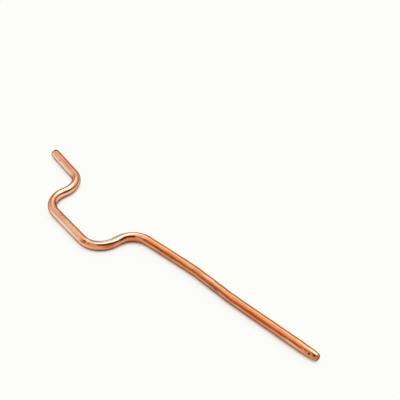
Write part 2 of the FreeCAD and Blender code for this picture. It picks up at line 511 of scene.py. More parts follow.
@dataclass(frozen=True)
class Spot:
    """A round or long spot on the pipe, with a soft edge.

    Its place is a distance along the pipe and a turn from the top, in degrees. Its length and its
    width go from the middle to the edge.
    """

    along: float
    turn: float
    length: float
    width: float

    def reach(self, straight: np.ndarray, radius: float) -> np.ndarray:
        """How far from the middle of the spot each point is.

        Args:
            straight: straightened points.
            radius: radius of the pipe.

        Returns:
            Distances, which are 0 in the middle and 1 at the edge.
        """
        angle = np.arctan2(straight[:, 1], straight[:, 2]) - math.radians(self.turn)
        angle = (angle + math.pi) % (2 * math.pi) - math.pi
        return np.hypot((straight[:, 0] - self.along) / self.length, angle * radius / self.width)

    def cover(self, straight: np.ndarray, radius: float) -> np.ndarray:
        """How much of the spot reaches each point.

        Args:
            straight: straightened points.
            radius: radius of the pipe.

        Returns:
            Shares from 1 in the middle to 0 at the edge.
        """
        return np.clip(1.0 - self.reach(straight, radius) ** 2, 0.0, 1.0) ** 2


@dataclass(frozen=True)
class Dent(Spot):
    """A spot that is pressed in."""

    depth: float


@dataclass(frozen=True)
class Crimp(Dent):
    """A punch mark with a flat floor and sloping sides."""

    floor: float = 0.52

    def cover(self, straight: np.ndarray, radius: float) -> np.ndarray:
        """How much of the punch reaches each point, from 1 on the floor to 0 at the edge."""
        return np.clip((1.0 - self.reach(straight, radius)) / (1.0 - self.floor), 0.0, 1.0)


@dataclass(frozen=True)
class Mark(Spot):
    """A spot whose surface differs."""

    wear: WearAndPaintedLight
    strength: float = 1.0


@dataclass(frozen=True)
class Streak:
    """A thin line on the surface, led through places along the pipe.

    Each place is a distance along the pipe, in millimetres, and a turn from the top, in degrees.
    """

    places: tuple[tuple[float, float], ...]
    width: float
    wear: WearAndPaintedLight
    strength: float = 1.0
    taper: float = 2.0 * MM

    def cover(self, straight: np.ndarray, radius: float) -> np.ndarray:
        """How much of the line reaches each point.

        Args:
            straight: straightened points.
            radius: radius of the pipe.

        Returns:
            Shares from 1 on the line to 0 at its edges and its two ends.
        """
        along, turn = np.array(self.places).T
        along = along * MM
        angle = np.arctan2(straight[:, 1], straight[:, 2])
        angle -= np.radians(np.interp(straight[:, 0], along, turn))
        angle = (angle + math.pi) % (2 * math.pi) - math.pi
        inside = np.minimum(straight[:, 0] - along[0], along[-1] - straight[:, 0])
        across = np.clip(1.0 - (angle * radius / self.width) ** 2, 0.0, 1.0) ** 2
        return across * np.clip(inside / self.taper, 0.0, 1.0)


@dataclass(frozen=True)
class PressedFlat:
    """A flat that a jaw presses on the side of the nose, deeper towards the tip."""

    start: float
    turn: float
    distance: float
    tilt: float
    edge: float = 0.16 * MM
    edge_reach: float = 4.0

    def press(self, straight: np.ndarray) -> np.ndarray:
        """Moves straightened points that stand out past the flat onto it, with a rounded edge.

        Args:
            straight: straightened points.

        Returns:
            The pressed points.
        """
        turn = math.radians(self.turn)
        outward = np.array((math.sin(turn), math.cos(turn)))
        past = straight[:, 0] - self.start
        limit = self.distance - past * math.tan(math.radians(self.tilt))
        over = straight[:, 1:] @ outward - limit
        excess = np.where(past < 0.0, 0.0, (over + np.sqrt(over**2 + self.edge**2)) / 2)
        excess = np.where(over < -self.edge_reach * self.edge, 0.0, excess)
        pressed = straight.copy()
        pressed[:, 1:] -= np.outer(excess, outward)
        return pressed


@dataclass(frozen=True)
class CopperFinish:
    """Drawn copper: lengthwise lines, a mottled heat tint, scuffs, specks, painted highlights and painted
    shade.
    """

    pink: Colour = (0.82, 0.39, 0.24)
    peach: Colour = (0.81, 0.375, 0.20)
    orange: Colour = (0.80, 0.32, 0.15)
    amber: Colour = (0.78, 0.36, 0.135)
    rose: Colour = (0.68, 0.25, 0.16)
    # Pale copper, for painted highlights and for pale drawn lines
    pale: Colour = (0.95, 0.69, 0.54)
    ember: Colour = (0.70, 0.19, 0.055)
    mauve: Colour = (0.37, 0.135, 0.10)
    # Brown, for painted brown shade and for brown drawn lines
    brown: Colour = (0.38, 0.11, 0.04)
    # Plum, for painted shade
    plum: Colour = (0.40, 0.15, 0.14)
    # Grey, for painted reflection along the upper edges
    dull: Colour = (0.24, 0.205, 0.175)
    # Dark, for specks and for painted dark reflection
    dark: Colour = (0.21, 0.020, 0.004)
    edge: Colour = (0.22, 0.15, 0.11)
    lines: Grain = Grain(22.0 * MM, 0.40 * MM, 3.0, 3.1)
    hairs: Grain = Grain(9.0 * MM, 0.16 * MM, 2.0, 7.7)
    mottle: Grain = Grain(5.0 * MM, 2.2 * MM, 3.0, 1.3)
    cloud: Grain = Grain(16.0 * MM, 4.0 * MM, 2.0, 5.9)
    crumbs: Grain = Grain(0.7 * MM, 0.5 * MM, 2.0, 9.2)
    peach_fade: tuple[float, float] = (0.38, 0.62)
    amber_fade: tuple[float, float] = (0.40, 0.60)
    rose_fade: tuple[float, float] = (0.50, 0.66)
    rose_share: float = 0.6
    pale_fade: tuple[float, float] = (0.55, 0.75)
    pale_share: float = 0.35
    brown_fade: tuple[float, float] = (0.45, 0.25)
    brown_share: float = 0.30
    crumb_fade: tuple[float, float] = (0.30, 0.60)
    roughness: float = 0.17
    line_roughness: float = 0.10
    cloud_roughness: float = 0.08
    scuff_roughness: float = 0.18
    speck_roughness: float = 0.10
    hair_height: float = 0.10
    line_height: float = 0.15
    scuff_height: float = 0.8
    relief_depth: float = 0.02 * MM
    relief_strength: float = 0.4

    def material(self) -> bpy.types.Material:
        """Makes the material.

        Returns:
            The copper, which reads the pipe's straightened coordinates and its marks, real or painted light.
        """
        material = bpy.data.materials.new("drawn_copper")
        material.use_nodes = True
        tree = ShaderTree(material.node_tree)
        drawn = tree.add("ShaderNodeAttribute", {"attribute_name": "drawn"}).outputs["Vector"]
        scuff, speck_and_shade, tint = tree.parts("wear")
        painted_highlight, heat, ember = tree.parts("tone")
        plum, dull, _ = tree.parts("shade")

        grains = (self.lines, self.hairs, self.mottle, self.cloud, self.crumbs)
        lines, hairs, mottle, cloud, crumbs = (tree.noise(drawn, grain) for grain in grains)

        clean = tree.mix(mottle.fade(*self.peach_fade), self.pink, self.peach)
        tinted = tree.mix(cloud.fade(*self.amber_fade), self.orange, self.amber)
        tinted = tree.mix(mottle.fade(*self.rose_fade) * self.rose_share, tinted, self.rose)
        colour = tree.mix(heat, clean, tinted)
        colour = tree.mix(ember, colour, self.ember)
        # Painted highlights in pale copper
        colour = tree.mix(painted_highlight, colour, self.pale)
        # Painted shade in plum, on the lower sides and the ends
        colour = tree.mix(plum, colour, self.plum)
        # Painted grey reflection along the upper edges
        colour = tree.mix(dull, colour, self.dull)
        colour = tree.mix(lines.fade(*self.pale_fade) * self.pale_share, colour, self.pale)
        colour = tree.mix(lines.fade(*self.brown_fade) * self.brown_share, colour, self.brown)
        rubbed = scuff * crumbs.fade(*self.crumb_fade)
        colour = tree.mix(rubbed, colour, self.mauve)
        # Painted brown shade: dark reflection lines, darker lower sides and ends
        colour = tree.mix(tint, colour, self.brown)
        # Dark specks, and painted dark reflection under the second jog's highlight
        colour = tree.mix(speck_and_shade, colour, self.dark)

        rough = self.roughness + (lines - tree.NOISE_MIDDLE) * self.line_roughness
        rough = rough + (cloud - tree.NOISE_MIDDLE) * self.cloud_roughness
        rough = rough + rubbed * self.scuff_roughness + speck_and_shade * self.speck_roughness
        height = hairs * self.hair_height + lines * self.line_height + rubbed * self.scuff_height
        relief = {"Height": height, "Distance": self.relief_depth, "Strength": self.relief_strength}
        bump = tree.add("ShaderNodeBump", None, relief)
        shader = tree.add(
            "ShaderNodeBsdfPrincipled",
            None,
            {
                "Base Color": colour,
                "Metallic": 1.0,
                "Roughness": rough,
                "Specular Tint": self.edge,
                "Normal": bump.outputs[0],
            },
        )
        tree.add("ShaderNodeOutputMaterial", None, {"Surface": shader.outputs[0]})
        return material


NOSE_CRIMPS = (
    Crimp(275.0 * MM, 56.0, 0.61 * MM, 0.61 * MM, 0.38 * MM),
    Crimp(278.345 * MM, 35.0, 0.72 * MM, 0.72 * MM, 0.55 * MM),
)
HANDLING_DENTS = (
    Dent(203.8 * MM, 62.0, 2.2 * MM, 1.3 * MM, 0.10 * MM),
    Dent(207.2 * MM, 48.0, 2.6 * MM, 1.1 * MM, 0.08 * MM),
    Dent(210.6 * MM, 64.0, 2.0 * MM, 1.2 * MM, 0.10 * MM),
    Dent(181.6 * MM, 45.0, 3.0 * MM, 1.6 * MM, 0.06 * MM),
)
MARKS = (
    # Heat tint over the second jog and the long leg
    Mark(208.0 * MM, 0.0, 100.0 * MM, 100.0 * MM, WearAndPaintedLight.HEAT, 8.0),
    # Painted highlights, and painted reflections of the pale table, in pale copper
    Mark(14.0 * MM, 72.0, 24.0 * MM, 2.5 * MM, WearAndPaintedLight.BRIGHT, 1.3),
    Mark(37.5 * MM, -72.0, 6.0 * MM, 1.3 * MM, WearAndPaintedLight.BRIGHT, 1.0),
    Mark(38.0 * MM, 40.0, 4.0 * MM, 1.0 * MM, WearAndPaintedLight.BRIGHT, 0.8),
    Mark(49.0 * MM, -12.0, 13.0 * MM, 1.1 * MM, WearAndPaintedLight.BRIGHT, 0.6),
    Mark(52.0 * MM, -74.0, 16.0 * MM, 1.2 * MM, WearAndPaintedLight.BRIGHT, 0.6),
    Mark(62.0 * MM, -80.0, 5.0 * MM, 1.4 * MM, WearAndPaintedLight.BRIGHT, 0.9),
    Mark(64.5 * MM, -80.0, 4.5 * MM, 1.3 * MM, WearAndPaintedLight.BRIGHT, 0.9),
    Mark(66.5 * MM, -70.0, 5.0 * MM, 1.5 * MM, WearAndPaintedLight.BRIGHT, 1.0),
    Mark(70.0 * MM, -45.0, 4.0 * MM, 1.3 * MM, WearAndPaintedLight.BRIGHT, 0.35),
    Mark(88.0 * MM, 72.0, 28.0 * MM, 2.7 * MM, WearAndPaintedLight.BRIGHT, 1.2),
    Mark(95.0 * MM, 22.0, 16.0 * MM, 0.8 * MM, WearAndPaintedLight.BRIGHT, 0.7),
    Mark(105.5 * MM, 60.0, 7.0 * MM, 1.8 * MM, WearAndPaintedLight.BRIGHT, 0.5),
    Mark(106.8 * MM, 50.0, 2.6 * MM, 1.1 * MM, WearAndPaintedLight.BRIGHT, 0.7),
    Mark(118.0 * MM, 8.0, 14.0 * MM, 1.7 * MM, WearAndPaintedLight.BRIGHT, 1.6),
    Mark(129.0 * MM, 32.0, 7.0 * MM, 1.3 * MM, WearAndPaintedLight.BRIGHT, 0.9),
    Mark(130.0 * MM, 85.0, 8.0 * MM, 1.5 * MM, WearAndPaintedLight.BRIGHT, 0.2),
    Mark(136.0 * MM, 2.0, 15.0 * MM, 1.7 * MM, WearAndPaintedLight.BRIGHT, 1.0),
    Mark(146.0 * MM, 22.0, 6.0 * MM, 1.6 * MM, WearAndPaintedLight.BRIGHT, 0.5),
    Mark(157.0 * MM, 62.0, 4.0 * MM, 1.0 * MM, WearAndPaintedLight.BRIGHT, 0.25),
    Mark(181.5 * MM, 42.0, 5.0 * MM, 1.3 * MM, WearAndPaintedLight.BRIGHT, 0.2),
    Mark(184.0 * MM, 30.0, 5.5 * MM, 1.3 * MM, WearAndPaintedLight.BRIGHT, 0.55),
    Mark(200.5 * MM, 2.0, 7.0 * MM, 1.6 * MM, WearAndPaintedLight.BRIGHT, 0.45),
    Mark(201.0 * MM, 80.0, 6.0 * MM, 1.6 * MM, WearAndPaintedLight.BRIGHT, 0.25),
    Mark(207.0 * MM, 30.0, 3.5 * MM, 3.0 * MM, WearAndPaintedLight.BRIGHT, 0.25),
    Mark(210.5 * MM, 92.0, 7.0 * MM, 1.4 * MM, WearAndPaintedLight.BRIGHT, 0.45),
    Mark(210.8 * MM, 70.0, 1.0 * MM, 0.5 * MM, WearAndPaintedLight.BRIGHT, 0.8),
    Mark(212.0 * MM, 62.0, 1.2 * MM, 0.5 * MM, WearAndPaintedLight.BRIGHT, 1.0),
    Mark(213.6 * MM, 58.0, 0.8 * MM, 0.4 * MM, WearAndPaintedLight.BRIGHT, 0.9),
    Mark(225.0 * MM, 60.0, 6.0 * MM, 1.4 * MM, WearAndPaintedLight.BRIGHT, 0.2),
    Mark(264.0 * MM, 72.0, 12.0 * MM, 1.7 * MM, WearAndPaintedLight.BRIGHT, 0.4),
    Mark(276.0 * MM, 10.0, 6.0 * MM, 1.9 * MM, WearAndPaintedLight.BRIGHT, 0.25),
    # Deep orange from heat
    Mark(66.0 * MM, 8.0, 6.0 * MM, 1.9 * MM, WearAndPaintedLight.EMBER, 0.35),
    Mark(122.6 * MM, 71.0, 5.5 * MM, 1.5 * MM, WearAndPaintedLight.EMBER, 1.3),
    Mark(130.0 * MM, 82.0, 22.0 * MM, 2.0 * MM, WearAndPaintedLight.EMBER, 0.35),
    Mark(143.0 * MM, 80.0, 8.0 * MM, 1.0 * MM, WearAndPaintedLight.EMBER, 0.8),
    Mark(163.0 * MM, 46.0, 14.0 * MM, 1.1 * MM, WearAndPaintedLight.EMBER, 0.5),
    Mark(169.0 * MM, 42.0, 8.0 * MM, 2.2 * MM, WearAndPaintedLight.EMBER, 0.6),
    Mark(180.0 * MM, 72.0, 8.0 * MM, 1.4 * MM, WearAndPaintedLight.EMBER, 0.6),
    Mark(192.0 * MM, 52.0, 12.0 * MM, 1.4 * MM, WearAndPaintedLight.EMBER, 0.4),
    Mark(201.0 * MM, 34.0, 7.0 * MM, 1.2 * MM, WearAndPaintedLight.EMBER, 0.5),
    Mark(237.0 * MM, 50.0, 20.0 * MM, 2.3 * MM, WearAndPaintedLight.EMBER, 1.0),
    Mark(252.0 * MM, 37.0, 12.0 * MM, 1.0 * MM, WearAndPaintedLight.EMBER, 0.3),
    Mark(256.0 * MM, 40.0, 18.0 * MM, 1.9 * MM, WearAndPaintedLight.EMBER, 0.7),
    Mark(276.0 * MM, 66.0, 5.0 * MM, 2.0 * MM, WearAndPaintedLight.EMBER, 0.35),
    # Painted shade in plum, mostly on the lower sides and on both ends
    Mark(-2.0 * MM, 0.0, 3.0 * MM, 100.0 * MM, WearAndPaintedLight.PLUM, 0.5),
    Mark(161.0 * MM, 87.0, 9.0 * MM, 1.6 * MM, WearAndPaintedLight.PLUM, 0.8),
    Mark(169.0 * MM, 75.0, 9.0 * MM, 1.5 * MM, WearAndPaintedLight.PLUM, 0.5),
    Mark(191.0 * MM, 12.0, 7.0 * MM, 2.2 * MM, WearAndPaintedLight.PLUM, 0.25),
    Mark(215.0 * MM, 98.0, 110.0 * MM, 1.9 * MM, WearAndPaintedLight.PLUM, 0.8),
    Mark(276.0 * MM, 66.0, 5.0 * MM, 2.0 * MM, WearAndPaintedLight.PLUM, 0.1),
    Mark(277.0 * MM, 118.0, 6.0 * MM, 1.6 * MM, WearAndPaintedLight.PLUM, 0.9),
    Mark(279.0 * MM, 80.0, 3.5 * MM, 1.4 * MM, WearAndPaintedLight.PLUM, 0.8),
    Mark(281.2 * MM, 0.0, 2.4 * MM, 100.0 * MM, WearAndPaintedLight.PLUM, 1.0),
    # Painted grey reflection along the upper edge of the long leg
    Mark(215.0 * MM, -15.0, 90.0 * MM, 1.6 * MM, WearAndPaintedLight.DULL, 0.27),
    # Painted brown shade: dark reflection lines, darker lower sides and darker ends
    Mark(-0.9 * MM, 0.0, 1.4 * MM, 100.0 * MM, WearAndPaintedLight.TINT, 0.9),
    Mark(19.0 * MM, 10.0, 12.0 * MM, 1.3 * MM, WearAndPaintedLight.TINT, 0.35),
    Mark(38.8 * MM, 10.0, 3.0 * MM, 0.8 * MM, WearAndPaintedLight.TINT, 0.3),
    Mark(52.0 * MM, -112.0, 12.0 * MM, 1.2 * MM, WearAndPaintedLight.TINT, 0.9),
    Mark(83.5 * MM, -1.5, 3.0 * MM, 1.2 * MM, WearAndPaintedLight.TINT, 0.4),
    Mark(118.0 * MM, 120.0, 15.0 * MM, 1.9 * MM, WearAndPaintedLight.TINT, 1.0),
    Mark(122.8 * MM, 70.0, 4.5 * MM, 1.2 * MM, WearAndPaintedLight.TINT, 0.3),
    Mark(138.0 * MM, 110.0, 16.0 * MM, 2.3 * MM, WearAndPaintedLight.TINT, 1.0),
    Mark(158.4 * MM, 46.5, 3.5 * MM, 0.9 * MM, WearAndPaintedLight.TINT, 0.6),
    Mark(162.4 * MM, 49.5, 3.0 * MM, 0.9 * MM, WearAndPaintedLight.TINT, 0.6),
    Mark(166.0 * MM, 32.0, 6.0 * MM, 1.2 * MM, WearAndPaintedLight.TINT, 0.3),
    Mark(171.0 * MM, 26.0, 8.0 * MM, 1.2 * MM, WearAndPaintedLight.TINT, 0.35),
    Mark(172.0 * MM, 43.5, 3.5 * MM, 0.9 * MM, WearAndPaintedLight.TINT, 0.5),
    Mark(270.0 * MM, 36.0, 4.0 * MM, 1.2 * MM, WearAndPaintedLight.TINT, 0.35),
    Mark(272.5 * MM, 43.0, 1.3 * MM, 1.1 * MM, WearAndPaintedLight.TINT, 1.1),
    Mark(272.6 * MM, 55.0, 0.8 * MM, 0.9 * MM, WearAndPaintedLight.TINT, 0.7),
    Mark(272.8 * MM, 65.0, 0.8 * MM, 0.9 * MM, WearAndPaintedLight.TINT, 0.5),
    Mark(277.0 * MM, 30.0, 1.2 * MM, 0.9 * MM, WearAndPaintedLight.TINT, 1.1),
    Mark(281.2 * MM, 0.0, 2.0 * MM, 100.0 * MM, WearAndPaintedLight.TINT, 1.0),
    # Dark specks
    Mark(-1.3 * MM, 0.0, 1.0 * MM, 100.0 * MM, WearAndPaintedLight.SPECK, 0.6),
    Mark(0.1 * MM, -3.0, 1.1 * MM, 1.1 * MM, WearAndPaintedLight.SPECK, 1.6),
    Mark(11.0 * MM, 46.5, 0.9 * MM, 0.7 * MM, WearAndPaintedLight.SPECK, 1.2),
    Mark(49.4 * MM, -52.5, 0.9 * MM, 0.7 * MM, WearAndPaintedLight.SPECK, 0.8),
    Mark(78.1 * MM, -7.0, 1.0 * MM, 0.55 * MM, WearAndPaintedLight.SPECK, 1.4),
    Mark(80.3 * MM, -2.5, 1.0 * MM, 0.55 * MM, WearAndPaintedLight.SPECK, 1.4),
    Mark(108.5 * MM, 28.0, 1.0 * MM, 0.7 * MM, WearAndPaintedLight.SPECK, 2.2),
    Mark(111.5 * MM, 40.0, 0.9 * MM, 0.6 * MM, WearAndPaintedLight.SPECK, 0.6),
    Mark(275.0 * MM, 58.5, 1.05 * MM, 1.1 * MM, WearAndPaintedLight.SPECK, 1.8),
    Mark(278.1 * MM, 38.5, 1.5 * MM, 1.25 * MM, WearAndPaintedLight.SPECK, 1.9),
    Mark(281.0 * MM, 15.0, 1.6 * MM, 2.4 * MM, WearAndPaintedLight.SPECK, 0.35),
    # Scuffs
    Mark(205.0 * MM, 48.0, 5.0 * MM, 1.2 * MM, WearAndPaintedLight.SCUFF, 1.4),
    Mark(207.5 * MM, 56.0, 8.0 * MM, 2.0 * MM, WearAndPaintedLight.SCUFF, 1.5),
)
# Lines of painted dark reflection along the jogs and the nose, and of painted grey reflection along their
# tops
BEND_LINE = (
    (34.7, -45.0), (41.3, -60.0), (44.5, -55.5), (52.2, -52.5), (60.2, -41.0), (65.0, -46.0), (68.0, -47.0),
)
# Painted grey reflection along the top of the first jog
BEND_GREY_EDGE = ((42.0, 18.0), (44.1, 14.0), (49.4, 4.0), (55.4, 11.0), (61.0, 14.0))
SHOULDER_LINE = (
    (115.5, 42.0), (118.8, 46.0), (126.5, 47.0), (129.5, 57.0), (132.0, 50.0), (134.9, 44.0), (142.0, 47.0),
)
# Painted grey reflection along the top of the second jog
SHOULDER_GREY_EDGE = (
    (110.0, -4.0), (117.0, 2.0), (121.0, 10.0), (125.0, 10.0),
    (130.0, 5.0), (134.0, -8.0), (138.0, -22.0), (150.0, -30.0),
)
SHOULDER_PATCH = ((129.0, 58.0), (132.0, 53.0), (135.0, 46.0), (141.0, 47.0))
NOSE_LINE = ((271.5, 44.0), (272.5, 41.0), (275.0, 32.0), (276.6, 28.5), (279.3, 27.0))
STREAKS = (
    Streak(BEND_LINE, 0.75 * MM, WearAndPaintedLight.TINT, 1.3),
    Streak(BEND_GREY_EDGE, 0.7 * MM, WearAndPaintedLight.DULL, 1.1),
    Streak(SHOULDER_LINE, 0.85 * MM, WearAndPaintedLight.TINT, 1.2),
    Streak(SHOULDER_GREY_EDGE, 0.75 * MM, WearAndPaintedLight.DULL, 1.3),
    # Painted dark reflection under the highlight of the second jog
    Streak(((117.5, 43.0), (125.5, 43.0)), 0.7 * MM, WearAndPaintedLight.SPECK, 0.8),
    Streak(SHOULDER_PATCH, 1.1 * MM, WearAndPaintedLight.SPECK, 0.8, 1.0 * MM),
    # Thin painted dark reflection lines along the legs and the second jog
    Streak(((141.5, 40.0), (145.0, 46.0), (151.0, 50.0)), 0.55 * MM, WearAndPaintedLight.TINT, 0.5),
    Streak(((103.8, 26.0), (108.5, 28.0), (113.2, 34.0)), 0.45 * MM, WearAndPaintedLight.TINT, 0.55),
    Streak(((74.0, 44.0), (90.0, 47.0), (104.0, 47.0)), 0.45 * MM, WearAndPaintedLight.TINT, 0.5),
    Streak(((2.0, 47.0), (24.0, 48.0)), 0.45 * MM, WearAndPaintedLight.TINT, 0.4),
    Streak(NOSE_LINE, 0.6 * MM, WearAndPaintedLight.TINT, 1.0, 0.3 * MM),
)


@dataclass
class HeatPipe:
    """The bent tube with its two closed ends, one piece of copper."""

    finish: CopperFinish
    mount: dict
    diameter: float = 6.0 * MM
    bend_radius: float = 14.0 * MM
    bow_radius: float = 80.0 * MM
    ovality: float = 0.06
    leg_entry: float = 27.0 * MM
    turn_one: float = 90.0
    turn_two: float = 93.5
    leg_jog: float = 32.5 * MM
    turn_three: float = 97.0
    turn_four: float = 86.5
    leg_exit: float = 34.0 * MM
    bow_out: float = 5.0
    leg_middle: float = 27.0 * MM
    bow_back: float = 3.0
    leg_end: float = 49.0 * MM
    nose: ClosedEnd = ClosedEnd(
        length=9.8 * MM, diameter=5.1 * MM, shoulder=1.5 * MM, dome=7.0 * MM, cone_rings=40
    )
    cap: ClosedEnd = ClosedEnd(
        length=2.0 * MM, diameter=6.0 * MM, shoulder=1.5 * MM, dome=6.0 * MM, cone_rings=1
    )
    flat: PressedFlat = PressedFlat(start=271.545 * MM, turn=65.0, distance=2.45 * MM, tilt=4.0)
    seam_width: float = 0.9 * MM
    seam_depth: float = 2.0 * MM
    ring_points: int = 120
    ring_pitch: float = 0.5 * MM
    least_rings: int = 2
    merge_distance: float = 0.002 * MM
    waves: int = 14
    wave_seed: int = 11
    wave_depth: float = 0.006 * MM
    wave_pitch: tuple[float, float] = (6.0 * MM, 30.0 * MM)
    wave_folds: int = 4
    uneven_from: float = 150.0 * MM
    uneven_ease: float = 20.0 * MM
    uneven_share: float = 1.6
    route: Route = field(init=False)

    def __post_init__(self) -> None:
        """Lays the route where the mount of the long leg is."""
        radius, oval = self.bend_radius, self.ovality
        stretches = (
            Stretch.leg(self.leg_entry),
            Stretch.bend(self.turn_one, Side.RIGHT, radius, oval),
            Stretch.bend(self.turn_two, Side.LEFT, radius, oval),
            Stretch.leg(self.leg_jog),
            Stretch.bend(self.turn_three, Side.LEFT, radius, oval),
            Stretch.bend(self.turn_four, Side.RIGHT, radius, oval),
            Stretch.leg(self.leg_exit),
            Stretch.bend(self.bow_out, Side.RIGHT, self.bow_radius),
            Stretch.leg(self.leg_middle),
            Stretch.bend(self.bow_back, Side.LEFT, self.bow_radius),
            Stretch.leg(self.leg_end),
        )
        x, y, height = self.mount["pos_m"]
        self.route = Route(stretches, height)
        self.route.lay((x, y), math.atan2(self.mount["axis"][1], self.mount["axis"][0]))

    def build(self) -> bpy.types.Object:
        """Models and dresses the pipe.

        Returns:
            The pipe, at its place in the frame.
        """
        nose = self._closed_end(self.nose, self.route.laid[-1], self.route.laid[-1].form.length)
        cap = self._closed_end(self.cap, self.route.laid[0], 0.0)
        pipe = self._tube()
        self._join(pipe, (nose, cap))
        self._press(pipe)
        self._note_wear(pipe)
        pipe.data.materials.append(self.finish.material())
        return pipe

    def _ring(self, leg: LaidStretch, along: float) -> bpy.types.Object:
        """Adds a ring of the tube across a leg.

        Args:
            leg: the leg.
            along: how far along the leg the ring is.

        Returns:
            The new object, in edit mode with the ring selected.
        """
        middle = np.array((leg.x, leg.y)) + leg.ahead * along
        bpy.ops.object.select_all(action="DESELECT")
        bpy.ops.mesh.primitive_circle_add(
            vertices=self.ring_points,
            radius=self.diameter / 2,
            location=(*middle, self.route.height),
            rotation=(math.pi / 2, 0.0, leg.heading + math.pi / 2),
        )
        ring = bpy.context.active_object
        bpy.ops.object.transform_apply(location=True, rotation=True, scale=True)
        bpy.ops.object.mode_set(mode="EDIT")
        bpy.ops.mesh.select_all(action="SELECT")
        return ring

    def _closed_end(self, end: ClosedEnd, leg: LaidStretch, along: float) -> bpy.types.Object:
        """Models an end, from the tube's last ring to the pole.

        Args:
            end: the end's profile.
            leg: the leg that it closes.
            along: where on the leg the end starts, which is 0 for the end that points back.

        Returns:
            The end, in object mode.
        """
        piece = self._ring(leg, along)
        outward = leg.ahead if along else -leg.ahead
        base = np.array((leg.x, leg.y)) + leg.ahead * along
        reach, radius = 0.0, self.diameter / 2
        for next_reach, next_radius in end.profile(radius):
            move = (*(outward * (next_reach - reach)), 0.0)
            bpy.ops.mesh.extrude_region_move(TRANSFORM_OT_translate={"value": move})
            middle = (*(base + outward * next_reach), self.route.height)
            if next_radius < self.merge_distance:
                bpy.ops.mesh.merge(type="CENTER")
            else:
                size = next_radius / radius
                bpy.ops.transform.resize(value=(size, size, size), center_override=middle)
            reach, radius = next_reach, next_radius
        bpy.ops.object.mode_set(mode="OBJECT")
        return piece

    def _tube(self) -> bpy.types.Object:
        """Extrudes a ring along the legs and spins it round the bends.

        Returns:
            The open tube, in object mode.
        """
        tube = self._ring(self.route.laid[0], 0.0)
        tube.name = "heat_pipe_copper"
        for stretch in self.route.laid:
            form = stretch.form
            steps = max(self.least_rings, round(form.length / self.ring_pitch))
            if form.curvature:
                bpy.ops.mesh.spin(
                    steps=steps,
                    angle=-form.length * form.curvature,
                    center=(*stretch.centre, self.route.height),
                    axis=(0.0, 0.0, 1.0),
                )
            else:
                step = stretch.ahead * form.length / steps
                bpy.ops.mesh.extrude_repeat(steps=steps, offset=(*step, 0.0), scale_offset=1.0)
        bpy.ops.object.mode_set(mode="OBJECT")
        return tube

    def _join(self, tube: bpy.types.Object, ends: tuple[bpy.types.Object, ...]) -> None:
        """Joins the ends to the tube, merges doubles and turns the faces outwards.

        Args:
            tube: the open tube.
            ends: its closed ends.
        """
        bpy.ops.object.select_all(action="DESELECT")
        for piece in (*ends, tube):
            piece.select_set(True)
        bpy.context.view_layer.objects.active = tube
        bpy.ops.object.join()
        bpy.ops.object.mode_set(mode="EDIT")
        bpy.ops.mesh.select_all(action="SELECT")
        bpy.ops.mesh.remove_doubles(threshold=self.merge_distance)
        bpy.ops.mesh.normals_make_consistent(inside=False)
        bpy.ops.object.mode_set(mode="OBJECT")
        bpy.ops.object.shade_smooth()

    @staticmethod
    def _points(pipe: bpy.types.Object) -> np.ndarray:
        """Reads the pipe's vertices.

        Args:
            pipe: the closed tube.

        Returns:
            Their places, one row each.
        """
        points = np.empty(3 * len(pipe.data.vertices))
        pipe.data.vertices.foreach_get("co", points)
        return points.reshape(-1, 3)

    def _press(self, pipe: bpy.types.Object) -> None:
        """Presses the nose's flat and crimps, the oval bends, the seam, the dents and slight waves.

        Args:
            pipe: the closed tube.
        """
        radius = self.diameter / 2
        straight = self.route.unroll(self._points(pipe))
        self._store(pipe, "drawn", straight)
        pressed = self.flat.press(straight)
        along, side, up = pressed.T.copy()
        inward = self._waves(straight)
        for dent in NOSE_CRIMPS + HANDLING_DENTS:
            inward += dent.depth * dent.cover(pressed, radius)
        # Points near the axis of a closed end move less
        scale = 1.0 - inward / np.maximum(np.hypot(side, up), radius / 2)
        side *= scale
        up *= scale
        for stretch, mine in self.route.share(along):
            way = np.clip((along[mine] - stretch.before) / stretch.form.length, 0.0, 1.0)
            oval = stretch.form.ovality * np.sin(math.pi * way) ** 2
            side[mine] *= 1.0 - oval
            up[mine] *= 1.0 + oval
        groove = np.clip(1.0 - np.abs(side) / (self.seam_width / 2), 0.0, 1.0)
        along = np.maximum(along, self.seam_depth * groove - self.cap.length)
        points = self.route.roll(np.column_stack((along, side, up)))
        pipe.data.vertices.foreach_set("co", points.ravel())
        pipe.data.update()

    def _waves(self, straight: np.ndarray) -> np.ndarray:
        """Slight waves that drawing and bending leave in a soft tube, deeper on the long leg.

        Args:
            straight: straightened points.

        Returns:
            How far each point is pressed in.
        """
        draw = np.random.default_rng(self.wave_seed)
        angle = np.arctan2(straight[:, 1], straight[:, 2])
        waves = np.zeros(len(straight))
        for _ in range(self.waves):
            pitch = draw.uniform(*self.wave_pitch)
            folds = draw.integers(0, self.wave_folds)
            phase, turn = draw.uniform(0.0, 2 * math.pi, 2)
            waves += np.sin(2 * math.pi * straight[:, 0] / pitch + phase) * np.cos(folds * angle + turn)
        past = (straight[:, 0] - self.uneven_from) / self.uneven_ease
        uneven = 1.0 + self.uneven_share * np.clip(past, 0.0, 1.0)
        # Half the number of waves is added, so that the tube is pressed in and doesn't swell
        return self.wave_depth * uneven * (waves + self.waves / 2)

    def _note_wear(self, pipe: bpy.types.Object) -> None:
        """Stores how much of each kind of mark, real or painted light, there is at each point.

        Args:
            pipe: the closed tube.
        """
        drawn = np.empty(3 * len(pipe.data.vertices))
        pipe.data.attributes["drawn"].data.foreach_get("vector", drawn)
        drawn = drawn.reshape(-1, 3)
        noted = {name: np.zeros_like(drawn) for name in ("wear", "tone", "shade")}
        for mark in MARKS + STREAKS:
            name, place = mark.wear.value
            cover = mark.strength * mark.cover(drawn, self.diameter / 2)
            noted[name][:, place] = np.maximum(noted[name][:, place], cover)
        for name, vectors in noted.items():
            self._store(pipe, name, vectors)

